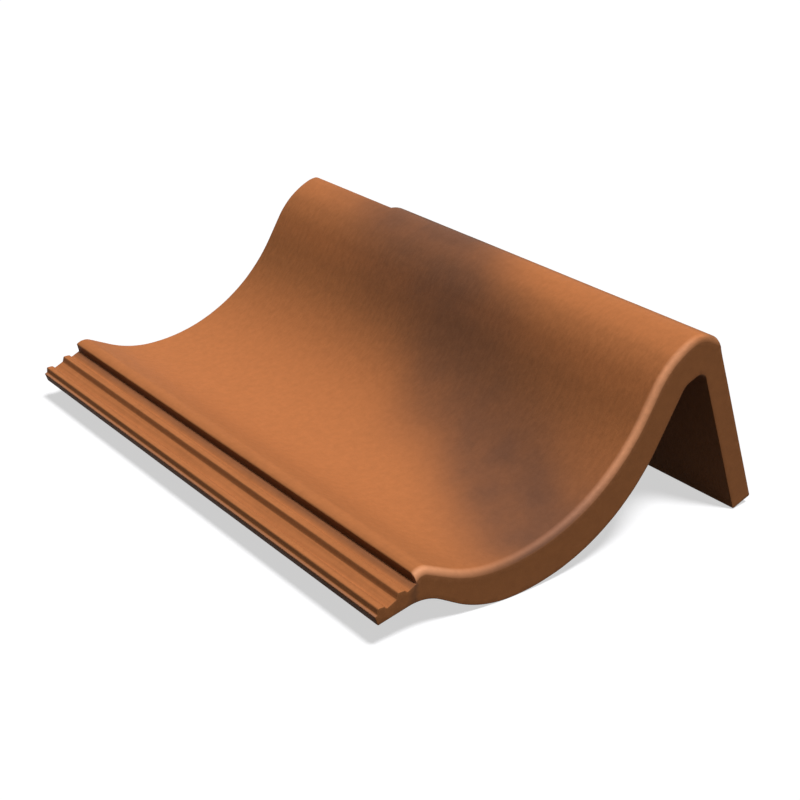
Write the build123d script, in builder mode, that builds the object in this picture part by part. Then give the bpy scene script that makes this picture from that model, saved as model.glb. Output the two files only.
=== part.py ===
# A verge tile of pigmented concrete with a pantile section: a side lock, a rounded trough and a
# tall roll, with a straight cloak hanging from the roll. It is cast in one piece. It rests on its
# belly and on the cloak's inner edge. X runs across the tile, Y from its tail to its head.
import os
from math import cos, radians, sin, tan

from build123d import *

os.makedirs("parts", exist_ok=True)

# The whole tile
tile_length = 342.0
tail_edge_radius = 3.75
overrun = 20.0

# Trough: its top surface, placed from the lock's nose and the floor, with a rounded lip at its
# left end and an undercut riser below the lip
trough_middle = 71.3
trough_height = 21.2
trough_left_radius = 67.0
trough_left_turn = 24.7
trough_right_radius = 104.0
lip_slope_length = 13.8
lip_radius = 8.6
lip_turn = 62.5
riser_undercut = 12.4

# Roll: its flank, shoulder, crest and brow, followed upwards
flank_slope = 59.7
flank_length = 15.6
shoulder_radius = 47.5
shoulder_turn = 37.0
crest_radius = 18.2
crest_turn = 50.0
brow_length = 4.2
brow_setback = 1.2
brow_radius = 3.5

# Cloak: a skirt that leans outwards, cut back at the head end to a thin stub under the roll
cloak_length = 260.0
cloak_thickness = 13.5
cloak_lean = 20.0
stub_drop = 9.0
head_setback = 7.7
crown_share = 0.39
crown_fall = 3.1
crown_radius = 5.6

# Underside: the belly, the arch beneath the lock and the hollow in the roll
belly_middle = 79.2
belly_left_radius = 66.0
belly_left_turn = 29.6
belly_left_length = 10.9
arch_radius = 25.8
arch_turn = 41.9
flank_thickness = 19.5
roll_depth = 15.8
ceiling_slope = 22.0
hollow_ridge_radius = 8.0
hollow_corner_radius = 5.0

# Lock: a nose with a narrow ledge, then two steps up to the trough's lip, each with a rib along
# its edge and a groove behind it
nose_height = 12.8
nose_lean = 1.4
nose_reach = 0.45
nose_rise = 5.3
ledge_width = 1.6
ledge_rise = 0.55
step_pitch = 11.4
step_rise = 4.4
rib_height = 21.8
rib_inset = 1.3
riser_lean = 0.9
rib_width = 3.8
rib_fall = 1.4
groove_rise = 2.55
rib_radius = 0.9
groove_radius = 0.6


def meet(first, first_angle, second, second_angle):
    """The point where two lines cross, each given by a point on it and its angle."""
    across = second.X - first.X
    up = second.Y - first.Y
    turn = radians(second_angle - first_angle)
    reach = (across * sin(radians(second_angle)) - up * cos(radians(second_angle))) / sin(turn)
    return first + reach * Vector(cos(radians(first_angle)), sin(radians(first_angle)))


# Directions along the cloak's faces and square to them
up_cloak = Vector(-sin(radians(cloak_lean)), cos(radians(cloak_lean)))
out_of_cloak = Vector(cos(radians(cloak_lean)), sin(radians(cloak_lean)))

# Section under the top surface, from the lip over the trough and the roll and on past the brow
with BuildSketch() as top_section:
    with BuildLine():
        trough = Vector(trough_middle, trough_height)
        trough_left = JernArc(trough, (-1, 0), trough_left_radius, -trough_left_turn)
        trough_right = JernArc(trough, (1, 0), trough_right_radius, flank_slope)
        flank = PolarLine(trough_right @ 1, flank_length, flank_slope)
        shoulder = JernArc(flank @ 1, flank % 1, shoulder_radius, -shoulder_turn)
        crest = JernArc(shoulder @ 1, shoulder % 1, crest_radius, -crest_turn)
        brow = crest @ 1 + brow_length * (crest % 1)
        outer_foot = brow - (brow.Y - cloak_thickness * out_of_cloak.Y) / up_cloak.Y * up_cloak
        inner_foot = outer_foot - cloak_thickness * out_of_cloak
        past_brow = brow + (outer_foot.X + overrun - brow.X) / (crest % 1).X * (crest % 1)
        lip_slope = PolarLine(trough_left @ 1, lip_slope_length, 180 - trough_left_turn)
        lip = JernArc(lip_slope @ 1, lip_slope % 1, lip_radius, lip_turn)
        lip_edge = lip @ 1
        riser_end = lip_edge + (lip_edge.Y + overrun) * Vector(tan(radians(riser_undercut)), -1)
        Polyline(crest @ 1, past_brow, Vector(past_brow.X, -overrun), riser_end, lip_edge)
    make_face()

# Section of the lock, with a root that reaches in under the trough's lip
nose_tip = Vector(nose_lean, nose_height)
nose_edge = Vector(-nose_reach, nose_height + nose_rise)
with BuildSketch() as lock_section:
    with BuildLine():
        steps = [nose_edge + Vector(ledge_width, ledge_rise)]
        for step in range(2):
            start = Vector(rib_inset + step * step_pitch, rib_height + step * step_rise)
            steps += [
                start,
                start + Vector(rib_width, 0),
                start + Vector(rib_width + rib_fall, -rib_fall),
                start + Vector(step_pitch - riser_lean, groove_rise - rib_fall),
            ]
        root = steps[-1] + Vector(lip_radius, 0)
        Polyline(nose_tip, nose_edge, *steps, root, Vector(root.X, nose_height), nose_tip)
    make_face()
    for corner in steps[1:3] + steps[5:7]:
        fillet(lock_section.vertices().sort_by_distance(corner)[0], rib_radius)
    for corner in steps[3:5] + steps[7:8]:
        fillet(lock_section.vertices().sort_by_distance(corner)[0], groove_radius)

# Section of the open space: the arch, the belly's sides, the roll's hollow and outside the cloak
with BuildSketch() as open_section:
    with BuildLine():
        belly = Vector(belly_middle, 0)
        belly_left = JernArc(belly, (-1, 0), belly_left_radius, -belly_left_turn)
        rising = PolarLine(belly_left @ 1, belly_left_length, 180 - belly_left_turn)
        arch = JernArc(rising @ 1, rising % 1, arch_radius, arch_turn)
        past_nose = nose_tip - overrun * (arch @ 1 - nose_tip).normalized()
        flank_side = Vector(sin(radians(flank_slope)), -cos(radians(flank_slope)))
        flank_offset = flank_side.dot(trough_right @ 1 - belly) + flank_thickness
        belly_radius = flank_offset / (1 - cos(radians(flank_slope)))
        belly_right = JernArc(belly, (1, 0), belly_radius, flank_slope)
        hollow_corner = inner_foot + (brow.Y - roll_depth) / up_cloak.Y * up_cloak
        hollow_ridge = meet(belly_right @ 1, flank_slope, hollow_corner, ceiling_slope)
        brow_start = brow - brow_setback * (crest % 1)
        brow_end = brow - brow_setback * up_cloak
        RadiusArc(brow_start, brow_end, brow_radius)
        Polyline(
            belly_right @ 1, hollow_ridge, hollow_corner, inner_foot, outer_foot, brow_end
        )
        Polyline(
            brow_start,
            brow_start + Vector(0, overrun),
            past_brow + Vector(overrun, overrun),
            Vector(past_brow.X + overrun, -2 * overrun),
            Vector(past_nose.X, -2 * overrun),
            past_nose,
            arch @ 1,
        )
    make_face()
    fillet(open_section.vertices().sort_by_distance(hollow_corner)[0], hollow_corner_radius)
    fillet(open_section.vertices().sort_by_distance(hollow_ridge)[0], hollow_ridge_radius)

# Section of the space that the cut-back cloak leaves at the head end, over the rounded crown
with BuildSketch() as head_section:
    with BuildLine():
        stub_inside = hollow_corner - stub_drop * up_cloak
        stub_outside = stub_inside + (cloak_thickness - head_setback) * out_of_cloak
        crown_start = crest @ crown_share
        stub_height = crown_start.Y - crown_fall - stub_outside.Y
        crown_end = stub_outside + stub_height / up_cloak.Y * up_cloak
        RadiusArc(crown_start, crown_end, crown_radius)
        Polyline(
            crown_end,
            stub_outside,
            stub_inside,
            Vector(stub_inside.X, -overrun),
            Vector(past_brow.X + overrun, -overrun),
            Vector(past_brow.X + overrun, crown_start.Y + overrun),
            crown_start + Vector(0, overrun),
            crown_start,
        )
    make_face()

# The tile, worked from its head end towards its tail
middle = (nose_edge.X + outer_foot.X) / 2
head_end = Plane((-middle, tile_length / 2, 0), x_dir=(1, 0, 0), z_dir=(0, -1, 0))
with BuildPart() as verge_tile:
    with BuildSketch(head_end):
        add(top_section.sketch_local)
    extrude(amount=tile_length)
    tail_edges = verge_tile.edges().group_by(Axis.Y)[0]
    fillet(tail_edges.sort_by(Axis.Z)[-1], tail_edge_radius)

    with BuildSketch(head_end):
        add(lock_section.sketch_local)
    extrude(amount=tile_length)

    with BuildSketch(head_end.offset(-overrun)):
        add(open_section.sketch_local)
    extrude(amount=tile_length + 2 * overrun, mode=Mode.SUBTRACT)

    with BuildSketch(head_end.offset(-overrun)):
        add(head_section.sketch_local)
    extrude(amount=tile_length - cloak_length + overrun, mode=Mode.SUBTRACT)

verge_tile.part.label = "verge_tile"
export_step(verge_tile.part, "parts/verge_tile.step")
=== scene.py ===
import math
from cmath import phase, rect

import bpy
import numpy as np
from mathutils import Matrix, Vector, noise
from mathutils.geometry import delaunay_2d_cdt


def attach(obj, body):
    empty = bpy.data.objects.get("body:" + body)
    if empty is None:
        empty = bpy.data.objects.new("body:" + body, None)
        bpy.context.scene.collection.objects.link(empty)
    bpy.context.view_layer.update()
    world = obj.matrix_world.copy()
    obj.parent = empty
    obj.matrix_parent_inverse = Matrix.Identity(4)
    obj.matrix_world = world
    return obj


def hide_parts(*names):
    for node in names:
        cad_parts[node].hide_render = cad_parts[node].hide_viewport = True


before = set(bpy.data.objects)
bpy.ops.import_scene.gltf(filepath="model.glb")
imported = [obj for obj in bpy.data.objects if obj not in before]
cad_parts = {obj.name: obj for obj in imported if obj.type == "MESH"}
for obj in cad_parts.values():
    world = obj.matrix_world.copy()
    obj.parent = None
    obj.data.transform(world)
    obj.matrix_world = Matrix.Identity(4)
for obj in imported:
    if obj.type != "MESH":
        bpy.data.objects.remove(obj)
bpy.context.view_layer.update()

# The verge tile is one casting of pigmented concrete. The wet mix is struck lengthwise over a
# pallet by a roller and a slipper that have its section, and cut to length while it is green. Its
# section is drawn in millimetres as points x + z * 1j, clockwise from the lock's nose.
mm = 0.001
tile_length, cloak_length = 342.0, 260.0
tail_edge_radius, arris_radius = 3.75, 0.4

trough_left_radius, trough_left_turn = 67.0, 24.7
trough_right_radius, flank_slope, flank_length = 104.0, 59.7, 15.6
lip_slope_length, lip_radius, lip_turn = 13.8, 8.6, 62.5
riser_undercut, lip_blunting = 12.4, 0.25
shoulder_radius, shoulder_turn = 47.5, 37.0
crest_radius, crest_turn = 18.2, 50.0
brow_length, brow_setback, brow_radius = 4.2, 1.2, 3.5

cloak_thickness, cloak_lean = 13.5, 20.0
stub_drop, head_setback = 9.0, 7.7
crown_share, crown_fall, crown_radius = 0.39, 3.1, 5.6

belly_left_radius, belly_left_turn, belly_left_length = 66.0, 29.6, 10.9
arch_radius, arch_turn = 25.8, 41.9
flank_thickness, roll_depth, ceiling_slope = 19.5, 15.8, 22.0
hollow_ridge_radius, hollow_corner_radius = 8.0, 5.0

nose_tip, nose_edge, ledge = 1.4 + 12.8j, -0.45 + 18.1j, 1.15 + 18.65j
rib_start, step_pitch, step_rise = 1.3 + 21.8j, 11.4, 4.4
riser_lean, rib_width, rib_fall, groove_rise = 0.9, 3.8, 1.4, 2.55
nose_radii, rib_radius, groove_radius = (0.8, 0.6, 0.5), 0.9, 0.6
swell_depth, drag_depth, cut_drag_depth = 0.10, 0.035, 0.16
riser_points, lip_points, brow_points, cloak_top_points, fade_points = 5, 14, 5, 22, 5


def heading(degrees):
    """A step of one along a direction."""
    return rect(1, math.radians(degrees))


def bend(start, degrees, radius, turn):
    """Points round an arc that leaves a point in a direction and turns by an angle."""
    centre = start + math.copysign(radius, turn) * heading(degrees + 90)
    steps = max(8, int(abs(turn) * radius / 12))
    return [centre + (start - centre) * heading(turn * k / steps) for k in range(steps + 1)]


def ease(before, corner, after, radius):
    """Points round the arc that eases a corner between two straight runs."""
    turn = math.degrees(phase((after - corner) / (corner - before)))
    towards = (corner - before) / abs(corner - before)
    start = corner - towards * radius * math.tan(math.radians(abs(turn) / 2))
    return bend(start, math.degrees(phase(towards)), radius, turn)


def bow(start, end, radius):
    """Points round the arc that bows outwards between two points."""
    half = math.degrees(math.asin(abs(end - start) / (2 * radius)))
    return bend(start, math.degrees(phase(end - start)) + half, radius, -2 * half)


def meet(first, first_slope, second, second_slope):
    """The point where two lines cross, each given by a point on it and its slope."""
    across = ((second - first) * heading(-second_slope)).imag
    reach = across / math.sin(math.radians(first_slope - second_slope))
    return first + reach * heading(first_slope)


def spread(points, pitch=1.0, count=None):
    """Evenly spaced points along a run, by pitch or by count, without its last one."""
    points = np.array(points)
    reach = np.concatenate([[0], np.cumsum(abs(np.diff(points)))])
    count = count or max(1, round(reach[-1] / pitch))
    at = reach[-1] * np.arange(count) / count
    return np.interp(at, reach, points.real) + 1j * np.interp(at, reach, points.imag)


def eased(corners, radii):
    """Spread points through corners, each eased by its own radius, closer together round it."""
    parts, last = [], corners[0]
    for before, corner, after, radius in zip(corners, corners[1:], corners[2:], radii):
        rounding = ease(before, corner, after, radius)
        parts += [spread([last, rounding[0]], 1.5), spread(rounding, 0.33)]
        last = rounding[-1]
    return np.concatenate(parts + [spread([last, corners[-1]], 1.5)])


# Lock: a nose with a narrow ledge, then two steps with a rib and a groove each
belly = 79.2 + 0j
belly_left = bend(belly, 180, belly_left_radius, -belly_left_turn)
arch_start = belly_left[-1] + belly_left_length * heading(180 - belly_left_turn)
arch = bend(arch_start, 180 - belly_left_turn, arch_radius, arch_turn)
lock_corners, lock_radii = [arch[-1], nose_tip, nose_edge, ledge], list(nose_radii)
for step in range(2):
    start = rib_start + step * (step_pitch + step_rise * 1j)
    lock_corners += [
        start,
        start + rib_width,
        start + rib_width + rib_fall - rib_fall * 1j,
        start + step_pitch - riser_lean + (groove_rise - rib_fall) * 1j,
    ]
    lock_radii += [rib_radius, rib_radius, groove_radius, groove_radius]

# Top: the lip's riser, the lip, trough, flank, shoulder and crest, which the tail edge rounds off
trough = 71.3 + 21.2j
trough_left = bend(trough, 180, trough_left_radius, -trough_left_turn)
lip_start = trough_left[-1] + lip_slope_length * heading(180 - trough_left_turn)
lip_centre = lip_start + lip_radius * 1j * heading(180 - trough_left_turn)
up_riser = heading(90 + riser_undercut)
lip_edge = bend(lip_start, 180 - trough_left_turn, lip_radius, lip_turn)[-1]
from_lip_centre = (lip_edge - lip_centre) / up_riser
rib_foot, groove_end = lock_corners[-2:]
groove_slope = math.degrees(phase(groove_end - rib_foot))
riser_foot = meet(rib_foot, groove_slope, lip_edge, 90 + riser_undercut)
lock_corners[-1] = riser_foot - groove_radius / 2 * heading(groove_slope)
lock_points = np.append(eased(lock_corners, lock_radii), lock_corners[-1])
trough_right = bend(trough, 0, trough_right_radius, flank_slope)
flank_top = trough_right[-1] + flank_length * heading(flank_slope)
shoulder = bend(flank_top, flank_slope, shoulder_radius, -shoulder_turn)
crest = bend(shoulder[-1], flank_slope - shoulder_turn, crest_radius, -crest_turn)
brow_slope = flank_slope - shoulder_turn - crest_turn
crest_cut = round(crown_share * (len(crest) - 1))
top_runs = [
    ([lip_start, trough_left[-1]], 1.6),
    (trough_left[::-1], 1.6),
    (trough_right, 1.6),
    ([trough_right[-1], flank_top], 1.5),
    (shoulder, 1.4),
    (crest[: crest_cut + 1], 0.9),
    (crest[crest_cut:], 0.9),
]
top_points = np.concatenate([spread(run, pitch) for run, pitch in top_runs])
top_shared = len(top_points) - len(spread(*top_runs[-1])) + 1
along = np.gradient(np.append(top_points, crest[-1]))[:-1]
along[0] = -heading(180 - trough_left_turn)
top_inward = -1j * along / abs(along)

# Cloak: from the brow down to its foot, and the stub that is left of it at the head end
up_cloak, out_of_cloak = heading(90 + cloak_lean), heading(cloak_lean)
brow = crest[-1] + brow_length * heading(brow_slope)
outer_foot = brow - (brow.imag - cloak_thickness * out_of_cloak.imag) / up_cloak.imag * up_cloak
inner_foot = outer_foot - cloak_thickness * out_of_cloak
brow_start = brow - brow_setback * heading(brow_slope)
brow_bow = bow(brow_start, brow - brow_setback * up_cloak, brow_radius)
cloak_start = brow_bow[-1] - 10 * up_cloak
over_brow = spread(brow_bow + [cloak_start], 0.05)
hollow_corner = inner_foot + (brow.imag - roll_depth) / up_cloak.imag * up_cloak
stub_inside = hollow_corner - stub_drop * up_cloak
stub_outside = stub_inside + (cloak_thickness - head_setback) * out_of_cloak
crown_start = crest[crest_cut]
crown_height = crown_start.imag - crown_fall - stub_outside.imag
crown_end = stub_outside + crown_height / up_cloak.imag * up_cloak
cloak_points = eased([cloak_start, outer_foot, inner_foot, stub_inside], [1.2, 1.2])
crown = spread(bow(crown_start, crown_end, crown_radius), 0.8)
stub_points = np.append(crown, eased([crown_end, stub_outside, stub_inside], [0.8]))[1:]

# Underside: the hollow in the roll, the belly, and the arch beneath the lock
across_flank = (trough_right[-1] - belly) * heading(90 - flank_slope)
belly_radius = (across_flank.real + flank_thickness) / (1 - math.cos(math.radians(flank_slope)))
belly_right = bend(belly, 0, belly_radius, flank_slope)
hollow_ridge = meet(belly_right[-1], flank_slope, hollow_corner, ceiling_slope)
under_points = np.concatenate([
    eased(
        [stub_inside, hollow_corner, hollow_ridge, belly_right[-1]],
        [hollow_corner_radius, hollow_ridge_radius],
    ),
    spread(belly_right[::-1], 2.0),
    spread(belly_left, 2.0),
    spread([belly_left[-1], arch_start], 2.0),
    spread(arch, 1.5),
])


def round_the_lip(sink):
    """Points up the riser and round the lip, which meets the riser lower down where it is sunk."""
    radius = lip_radius - sink
    aside = from_lip_centre.imag
    edge = lip_centre + up_riser * (math.sqrt(radius**2 - aside**2) + aside * 1j)
    steepest = math.degrees(phase(edge - lip_centre) - lip_blunting / radius)
    angles = np.linspace(steepest, 90 - trough_left_turn, lip_points + 1)[:-1]
    return np.concatenate([
        spread([riser_foot, edge - lip_blunting * up_riser], count=riser_points),
        [edge - lip_blunting * up_riser],
        lip_centre + radius * np.array([heading(a) for a in angles]),
    ])


def over_the_brow(sink):
    """Points from the crest to the cloak, where the sunk top runs out in the cloak's face."""
    start = crest[-1] - 1j * heading(brow_slope) * sink
    below = ((over_brow - start) / heading(brow_slope)).imag < 0.001
    rest = over_brow[np.argmax(below):]
    return np.concatenate([
        spread([start, rest[0]], count=brow_points),
        spread(np.append(rest, cloak_start), count=cloak_top_points),
    ])


def quarter_round(radius, away):
    """How far a rounded edge has sunk at a distance from the end face."""
    short = max(0.0, radius - away)
    return radius - math.sqrt(radius**2 - short**2)


def fading(count, first, last):
    """Ones along a run of points, fading to nothing over a few points at either end asked for."""
    share = np.ones(count)
    ramp = np.linspace(0, 1, fade_points + 1)[:-1]
    if first:
        share[:fade_points] = ramp
    if last:
        share[-fade_points:] = ramp[::-1]
    return share


vertices, laid, rim, struck = [], [], [], []


def add_points(points, place, measured, rims, struck_share):
    """Adds points of the section at a place along the tile, and gives their numbers."""
    first = len(vertices)
    y = (place - tile_length / 2) * mm
    vertices.extend(((p.real - middle) * mm, y, p.imag * mm) for p in points)
    laid.extend((s * mm, y, 0.0) for s in measured)
    rim.extend(rims)
    struck.extend([struck_share] * len(points))
    return np.arange(first, first + len(points))


def lay_ring(place, cloaked, joined=None):
    """Adds the outline at one place, with worn arrises and the unevenness of the struck face."""
    sink = quarter_round(tail_edge_radius, place)
    lip = round_the_lip(sink)
    top = top_points + top_inward * sink
    shared_top, rest_of_crest = np.append(lip, top[:top_shared]), top[top_shared:]
    side = stub_points
    if cloaked:
        side = np.concatenate([rest_of_crest, over_the_brow(sink), cloak_points])
    points = np.concatenate([lock_points, shared_top, side, under_points])
    side_at = len(lock_points) + len(shared_top)
    under_at = side_at + len(side)
    rounded = slice(len(lock_points), side_at + len(rest_of_crest) + brow_points)

    wear = np.zeros(len(points))
    if place < arris_radius:
        wear[: rounded.start] = fading(rounded.start, False, True)
        wear[rounded.stop :] = np.interp(points[rounded.stop :].imag, (94.5, 98.2), (1, 0))
        wear *= quarter_round(arris_radius, place)
    elif cloaked and place > cloak_length - arris_radius:
        wear[side_at:under_at] = fading(len(side), True, True)
        wear *= quarter_round(arris_radius, cloak_length - place)
    elif place > tile_length - arris_radius:
        wear += quarter_round(arris_radius, tile_length - place)
    measured = np.concatenate([[0], np.cumsum(abs(np.diff(points)))])
    measured[under_at:] -= measured[-1]
    along = np.roll(points, -1) - np.roll(points, 1)
    inward = -1j * along / abs(along)
    for k, p in enumerate(points):
        chips = 1 + 0.3 * noise.noise(Vector((measured[k] / 7, place / 40, 4)))
        swell = 0.5 + 0.5 * noise.noise(Vector((p.real / 30, place / 45, p.imag / 30)))
        drag = 0.5 + 0.5 * noise.noise(Vector((p.real / 5, place / 9, p.imag / 5 + 7)))
        points[k] += inward[k] * (wear[k] * chips + swell_depth * swell + drag_depth * drag)

    # Where the painted highlight lies across the tail's rounded edge
    rims = np.zeros(len(points))
    if place < tail_edge_radius:
        tipped = math.degrees(math.asin(1 - place / tail_edge_radius))
        rims[rounded] = np.interp(tipped, (0, 15, 36, 62, 80, 90), (0, 0.45, 1, 0.8, 0.55, 0.1))
    if joined is None:
        return add_points(points, place, measured, rims, 1.0), side_at, under_at
    before, before_side, before_under = joined
    own = slice(side_at, under_at)
    added = add_points(points[own], place, measured[own], rims[own], 1.0)
    numbers = np.concatenate([before[:before_side], added, before[before_under:]])
    return numbers, side_at, under_at


# Rings along the tile: close together round its edges, about two millimetres apart elsewhere
cloaked_count, bare_count = 118, 38
middle = (nose_edge.real + outer_foot.real) / 2
rounding = [tail_edge_radius * (1 - math.sin(math.radians(a))) for a in range(90, -1, -10)]
arris = [arris_radius * (1 - math.cos(math.radians(a))) for a in (90, 70, 50, 25, 0)]
cloaked_run = np.linspace(tail_edge_radius, cloak_length - arris_radius, cloaked_count)[1:-1]
cloaked_places = rounding + list(cloaked_run) + [cloak_length - a for a in arris]
bare_places = list(np.linspace(cloak_length, tile_length - arris_radius, bare_count)[1:-1])
bare_places += [tile_length - a for a in arris]
cloaked_rings = [lay_ring(place, True) for place in cloaked_places]
bare_rings = [lay_ring(cloak_length, False, cloaked_rings[-1])]
bare_rings += [lay_ring(place, False) for place in bare_places]

faces = []
for rings in (cloaked_rings, bare_rings):
    for (near, *_), (far, *_) in zip(rings, rings[1:]):
        faces += zip(near, np.roll(near, -1), np.roll(far, -1), far)


def cut_across(edge, place, towards_head):
    """Fills a cut face with a fine net of points, which carries the drag marks of the cut."""
    flat = [complex(vertices[k][0], vertices[k][2]) / mm for k in edge]
    corners = np.array(flat)
    pitch = 2.1
    columns = np.arange(corners.real.min(), corners.real.max(), pitch)
    rows = np.arange(corners.imag.min(), corners.imag.max(), pitch * 0.87)
    net = np.array([x + (k % 2) * pitch / 2 + z * 1j for k, z in enumerate(rows) for x in columns])
    room = abs(net[:, None] - corners[None, :]).min(axis=1)
    net, room = net[room > 0.75 * pitch], room[room > 0.75 * pitch]
    spots = [Vector((p.real, p.imag)) for p in np.concatenate([corners, net])]
    sides = [(k, (k + 1) % len(edge)) for k in range(len(edge))]
    _, _, triangles, origins, _, _ = delaunay_2d_cdt(spots, sides, [], 1, 1e-6)
    numbers = {k: int(edge[k]) for k in range(len(edge))}
    for triangle in triangles:
        for spot in triangle:
            origin = origins[spot][0]
            if origin not in numbers:
                p = net[origin - len(edge)]
                drag = 0.5 + 0.5 * noise.noise(Vector((p.real / 9, p.imag / 3, place)))
                depth = cut_drag_depth * drag * min(1, room[origin - len(edge)] / 4)
                inside = place - depth if towards_head else place + depth
                numbers[origin] = int(add_points([p + middle], inside, [p.real], [0], 0.0)[0])
        corners_of = [numbers[origins[spot][0]] for spot in triangle]
        faces.append(tuple(corners_of[::-1] if towards_head else corners_of))


cut_across(cloaked_rings[0][0], 0.0, False)
cut_across(bare_rings[-1][0], tile_length, True)
cloaked_edge, side_at, under_at = cloaked_rings[-1]
bare_edge, bare_side_at, bare_under_at = bare_rings[0]
cut_loop = list(cloaked_edge[side_at - 1 : under_at + 1])
cut_loop += list(bare_edge[bare_side_at:bare_under_at][::-1])
cut_across(cut_loop, cloak_length, True)

casting_mesh = bpy.data.meshes.new("verge_tile_casting")
casting_mesh.from_pydata(vertices, [], [tuple(int(k) for k in face) for face in faces])
casting_mesh.shade_smooth()
casting_mesh.set_sharp_from_angle(angle=math.radians(50))
casting = bpy.data.objects.new("verge_tile_casting", casting_mesh)
bpy.context.scene.collection.objects.link(casting)

# Finish: a brown body under a warm terracotta coat, with a brindle of darker slurry blown over it
# in one slanting pass. The body colour showing through on steep faces is painted shade; the pale
# colour is a painted highlight and the near-black colour is painted shade.
coat_colour = (0.540, 0.187, 0.062, 1)
body_colour = (0.280, 0.106, 0.036, 1)
brindle_and_painted_light_stain = (0.360, 0.440, 0.700, 1)
painted_highlight_colour = (0.880, 0.390, 0.195, 1)
painted_dark_shade_colour = (0.045, 0.014, 0.002, 1)

upward = np.zeros(len(vertices) * 3)
casting_mesh.vertex_normals.foreach_get("vector", upward)
upward = upward.reshape(-1, 3)[:, 2].clip(0, 1)
across, lengthwise, height = np.array(vertices).T
rim, struck = np.array(rim), np.array(struck)
end = tile_length / 2 * mm

# How much of the coat colour shows: less as the face turns from upward, which paints shade on
# steep faces; more up the roll and at its tail, which paints light there; less on the lock; and
# none past the crest, which paints shade where it turns away
coat_and_painted_light = np.interp(upward, (0, 0.5, 0.6, 0.7, 0.8, 0.9, 1), (0, 0.02, 0.12, 0.36, 0.60, 0.86, 1))
painted_roll_light = np.interp(
    height, (0.060, 0.075, 0.084, 0.092, 0.098, 0.103), (0, 0.12, 0.34, 0.30, 0.10, 0.18)
)
painted_tail_light = np.interp(lengthwise, (-end, -0.150, -0.090), (0.22, 0.15, 0))
painted_tail_light *= np.interp(across, (0.01, 0.03, 0.045), (0, 1, 0.55))
coat_and_painted_light += (painted_roll_light + painted_tail_light) * np.interp(upward, (0.4, 0.5, 0.9, 1), (0, 1, 1, 0))
coat_and_painted_light *= np.interp(across, (-0.1005, -0.0995, -0.085, -0.070), (0.80, 0.84, 0.90, 1))
coat_and_painted_light *= np.interp(across, (0.077, 0.084), (1, 0))

# The brindle pass in plan: the place along the tile, the middle of the pass across it, its half
# width and its strength. It is weaker on the tail edge under the painted highlight, and its stain
# also paints shade at the foot of the lip.
brindle_pass = np.array([
    (-0.160, -0.022, 0.033, 0.94),
    (-0.120, -0.005, 0.032, 0.95),
    (-0.080, 0.010, 0.029, 0.87),
    (-0.060, 0.020, 0.030, 0.77),
    (-0.040, 0.028, 0.034, 0.75),
    (-0.020, 0.042, 0.038, 0.80),
    (0.000, 0.064, 0.039, 0.92),
    (0.030, 0.075, 0.036, 1.03),
    (0.060, 0.081, 0.036, 1.03),
    (0.080, 0.083, 0.034, 0.95),
    (0.100, 0.086, 0.031, 0.85),
    (0.120, 0.085, 0.026, 0.50),
    (0.150, 0.090, 0.030, 0.18),
])
middles, half_widths, strengths = (
    np.interp(lengthwise, brindle_pass[:, 0], column) for column in brindle_pass.T[1:]
)
brindle_and_painted_light = strengths * np.exp2(-(abs(across - middles) / half_widths) ** 2.6)
brindle_and_painted_light *= np.interp(upward, (0, 0.25), (0, 1)) * (1 - 0.3 * rim)
# Painted shade in the groove at the foot of the lip's riser
painted_shade_at_lip_foot = np.interp(across, (-0.1048, -0.1018, -0.1000, -0.0995), (0, 0.6, 0.6, 0))
brindle_and_painted_light = np.maximum(brindle_and_painted_light, painted_shade_at_lip_foot * np.interp(height, (0.0275, 0.028), (1, 0)))

# The narrow ledge is painted pale and grey as a highlight. The side of the nose under it and the
# riser under the lip are painted near-black as shade.
on_ledge = np.interp(height, (0.0178, 0.0181, 0.0190, 0.0194), (0, 1, 1, 0)) * struck
coat_and_painted_light *= 1 - 0.5 * on_ledge * np.interp(across, (-0.1215, -0.1211), (1, 0))
on_ledge *= np.interp(across, (-0.1228, -0.1221), (1, 0))
brindle_and_painted_light = np.maximum(brindle_and_painted_light, 0.45 * on_ledge)
painted_dark_shade = np.interp(height, (0.0172, 0.0179), (1, 0))
painted_dark_shade *= np.interp(across, (-0.1215, -0.1195), (1, 0))
under_lip = np.interp(across, (-0.1012, -0.1005, -0.0985, -0.0975), (0, 1, 1, 0))
under_lip *= np.interp(upward, (0, 0.2), (0.7, 0))
under_lip *= np.interp(height, (0.0272, 0.0278), (0, 1))
painted_dark_shade = np.maximum(painted_dark_shade, under_lip)
painted_dark_shade *= np.interp(abs(lengthwise), (end - 0.5 * mm, end), (1, 0)) * struck

# How strong the painted highlight on the tail's rounded edge is, from the lip over the trough and
# up the roll; the ledge gets some too
painted_highlight_places = (-0.100, -0.090, -0.070, -0.050, -0.020, 0.030, 0.050, 0.065, 0.075)
painted_highlight_shares = (0.92, 0.78, 0.50, 0.33, 0.40, 0.80, 0.80, 0.55, 0.15)
painted_highlight = np.maximum(rim * np.interp(across, painted_highlight_places, painted_highlight_shares), 0.45 * on_ledge)

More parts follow.
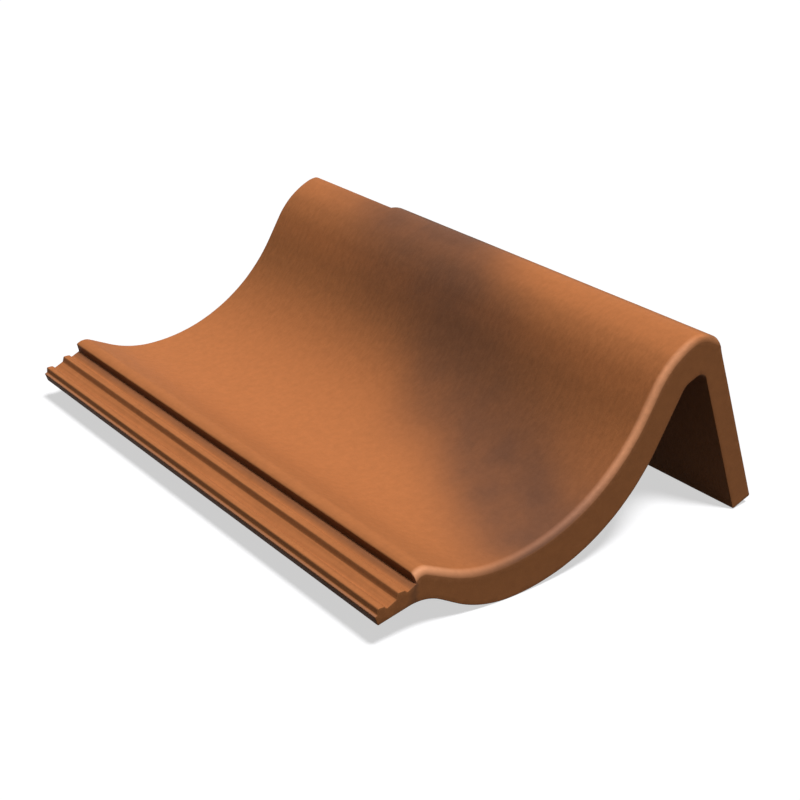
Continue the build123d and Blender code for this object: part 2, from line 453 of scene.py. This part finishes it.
# Where the mould combed streaks along the lock, and where the roller scratched the flank
combed = np.interp(across, (-0.1005, -0.0995, -0.085), (1, 0.35, 0.1)) * struck
steep = np.interp(upward, (0.45, 0.6, 0.85, 0.95), (0.8, 1, 0.45, 0)) * struck
steep *= np.interp(across, (-0.03, 0), (0, 1))
finish_shares = {
    "coat_and_painted_light": coat_and_painted_light,
    "brindle_and_painted_light": brindle_and_painted_light,
    "painted_highlight": painted_highlight,
    "painted_dark_shade": painted_dark_shade,
    "struck": struck,
    "combed": combed,
    "steep": steep,
}
for name, share in finish_shares.items():
    kept = casting_mesh.attributes.new(name, "FLOAT", "POINT")
    kept.data.foreach_set("value", share.astype(np.float32))
kept = casting_mesh.attributes.new("laid", "FLOAT_VECTOR", "POINT")
kept.data.foreach_set("vector", np.array(laid, np.float32).ravel())

finish = bpy.data.materials.new("brindled_concrete")
finish.use_nodes = True
nodes, links = finish.node_tree.nodes, finish.node_tree.links
shader = nodes["Principled BSDF"]
shader.inputs["Specular IOR Level"].default_value = 0.14


def attribute(name, output="Fac"):
    """A value kept with the mesh."""
    node = nodes.new("ShaderNodeAttribute")
    node.attribute_name = name
    return node.outputs[output]


def put(socket, given):
    """Sets a socket to a number or a colour, or links another node's output to it."""
    if isinstance(given, bpy.types.NodeSocket):
        links.new(given, socket)
    else:
        socket.default_value = given


def grain(vector, scale, detail=2.0, rough=0.5):
    """A cloudy grain, this many clouds to the metre."""
    node = nodes.new("ShaderNodeTexNoise")
    for name, number in (("Scale", scale), ("Detail", detail), ("Roughness", rough)):
        node.inputs[name].default_value = number
    links.new(vector, node.inputs["Vector"])
    return node.outputs["Fac"]


def stretched(vector, by):
    """Places drawn out by a factor along each axis."""
    node = nodes.new("ShaderNodeVectorMath")
    node.operation = "MULTIPLY"
    links.new(vector, node.inputs[0])
    node.inputs[1].default_value = by
    return node.outputs["Vector"]


def level(value, low, high, to_low, to_high):
    """A value carried from one range over to another."""
    node = nodes.new("ShaderNodeMapRange")
    ends = {"From Min": low, "From Max": high, "To Min": to_low, "To Max": to_high}
    for name, number in ends.items():
        node.inputs[name].default_value = number
    links.new(value, node.inputs["Value"])
    return node.outputs["Result"]


def blend(kind, share, first, second):
    """Two colours laid over each other."""
    node = nodes.new("ShaderNodeMix")
    node.data_type = "RGBA"
    node.blend_type = kind
    colours = [socket for socket in node.inputs if socket.type == "RGBA"]
    for socket, given in zip([node.inputs[0], *colours], (share, first, second)):
        put(socket, given)
    return [socket for socket in node.outputs if socket.type == "RGBA"][0]


def sums(kind, first, second):
    """Arithmetic on two values."""
    node = nodes.new("ShaderNodeMath")
    node.operation = kind
    put(node.inputs[0], first)
    put(node.inputs[1], second)
    return node.outputs["Value"]


place = nodes.new("ShaderNodeTexCoord").outputs["Object"]
drawn = attribute("laid", "Vector")
struck_share = attribute("struck")

# Colour
cloud = level(grain(place, 45, 3), 0.3, 0.7, -0.10, 0.10)
brindle_and_painted_light_share = sums("MULTIPLY", attribute("brindle_and_painted_light"), sums("ADD", cloud, 1.0))
# The coat share paints shade on steep faces and light up the roll and at the tail
full_colour = blend("MIX", attribute("coat_and_painted_light"), body_colour, coat_colour)
# Painted highlight on the tail's rounded edge and on the ledge
full_colour = blend("MIX", attribute("painted_highlight"), full_colour, painted_highlight_colour)
# The brindle stain also paints shade at the foot of the lip and greys the ledge's painted
# highlight
full_colour = blend("MULTIPLY", brindle_and_painted_light_share, full_colour, brindle_and_painted_light_stain)
# Painted shade: near-black on the nose's side and the riser under the lip
full_colour = blend("MIX", attribute("painted_dark_shade"), full_colour, painted_dark_shade_colour)
mottle = level(grain(place, 260, 4, 0.6), 0.25, 0.75, 0.93, 1.07)
full_colour = blend("MULTIPLY", 1.0, full_colour, mottle)
streaks = level(grain(stretched(drawn, (1, 0.03, 1)), 600, 2), 0.3, 0.7, 0.88, 1.08)
full_colour = blend("MULTIPLY", attribute("combed"), full_colour, streaks)
scratches = grain(stretched(drawn, (0.40, 1, 1)), 430, 5, 0.75)
scored = level(scratches, 0.32, 0.62, 0.85, 1.06)
full_colour = blend("MULTIPLY", attribute("steep"), full_colour, scored)
links.new(full_colour, shader.inputs["Base Color"])

# Sand in the face, drawn out down the slope where the roller pressed it
sand = grain(place, 1100, 3, 0.6)
dragged = grain(stretched(drawn, (0.45, 1, 1)), 900, 2, 0.6)
face = sums("ADD", sand, sums("MULTIPLY", dragged, struck_share))
face = sums("ADD", face, sums("MULTIPLY", scratches, sums("MULTIPLY", attribute("steep"), 1.3)))
rough = level(sand, 0.3, 0.7, 0.64, 0.80)
rough = sums("SUBTRACT", rough, sums("MULTIPLY", attribute("painted_highlight"), 0.15))
links.new(rough, shader.inputs["Roughness"])
bump = nodes.new("ShaderNodeBump")
bump.inputs["Distance"].default_value = 0.0002
bump.inputs["Strength"].default_value = 0.35
links.new(face, bump.inputs["Height"])
links.new(bump.outputs["Normal"], shader.inputs["Normal"])

casting_mesh.materials.append(finish)
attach(casting, "root")
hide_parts("verge_tile")

# Floor: a level sheet of pale matt card, wide enough to fill every view. It reads as plain white,
# also in a gloss, and keeps the tile's soft shadow.
card_colour, card_glow, underlight_colour = (0.44, 0.44, 0.45, 1), 0.60, (0.036, 0.025, 0.014, 1)
bpy.ops.mesh.primitive_plane_add(size=12)
floor = bpy.context.object
floor.name = "floor"
floor_finish = bpy.data.materials.new("pale_floor")
floor_finish.use_nodes = True
nodes, links = floor_finish.node_tree.nodes, floor_finish.node_tree.links
nodes.clear()


def seen_directly():
    """One for what the camera sees, also in a gloss or through glass, and none for other light."""
    ray = nodes.new("ShaderNodeLightPath").outputs
    glossy_or_clear = sums("MAXIMUM", ray["Is Glossy Ray"], ray["Is Transmission Ray"])
    return sums("MAXIMUM", ray["Is Camera Ray"], glossy_or_clear)


seen = seen_directly()
sheet = nodes.new("ShaderNodeBsdfDiffuse")
links.new(blend("MIX", seen, underlight_colour, card_colour), sheet.inputs["Color"])
glow = nodes.new("ShaderNodeEmission")
links.new(sums("MULTIPLY", seen, card_glow), glow.inputs["Strength"])
both = nodes.new("ShaderNodeAddShader")
links.new(sheet.outputs[0], both.inputs[0])
links.new(glow.outputs[0], both.inputs[1])
links.new(both.outputs[0], nodes.new("ShaderNodeOutputMaterial").inputs["Surface"])
floor.data.materials.append(floor_finish)

# Light: one broad lamp almost overhead, tipped towards the tail, and a faint even surround that
# shows as plain white behind the tile.
lamp = bpy.data.objects.new("overhead_lamp", bpy.data.lights.new("overhead_lamp", "SUN"))
lamp.data.energy = 3.2
lamp.data.angle = math.radians(12)
lamp.rotation_mode = "QUATERNION"
lamp.rotation_quaternion = Vector((-0.06, -0.385, 0.92)).to_track_quat("Z", "Y")
bpy.context.scene.collection.objects.link(lamp)

world = bpy.data.worlds.new("surround")
bpy.context.scene.world = world
world.use_nodes = True
nodes, links = world.node_tree.nodes, world.node_tree.links
sky = nodes["Background"]
links.new(level(seen_directly(), 0, 1, 0.03, 1.0), sky.inputs["Strength"])
sky.inputs["Color"].default_value = (1, 1, 1, 1)

# Camera: at the left of the tail end and above the tile, looking down along the trough through a
# longish lens.
camera = bpy.data.objects.new("camera", bpy.data.cameras.new("camera"))
camera.location = (-0.4814, -0.6693, 0.3986)
camera.rotation_euler = [math.radians(a) for a in (65.939, -0.391, -36.502)]
camera.data.lens = 71.937
camera.data.sensor_width = 36
camera.data.clip_start = 0.01
bpy.context.scene.collection.objects.link(camera)
bpy.context.scene.camera = camera
bpy.context.scene.view_settings.view_transform = "Standard"

bpy.context.view_layer.update()
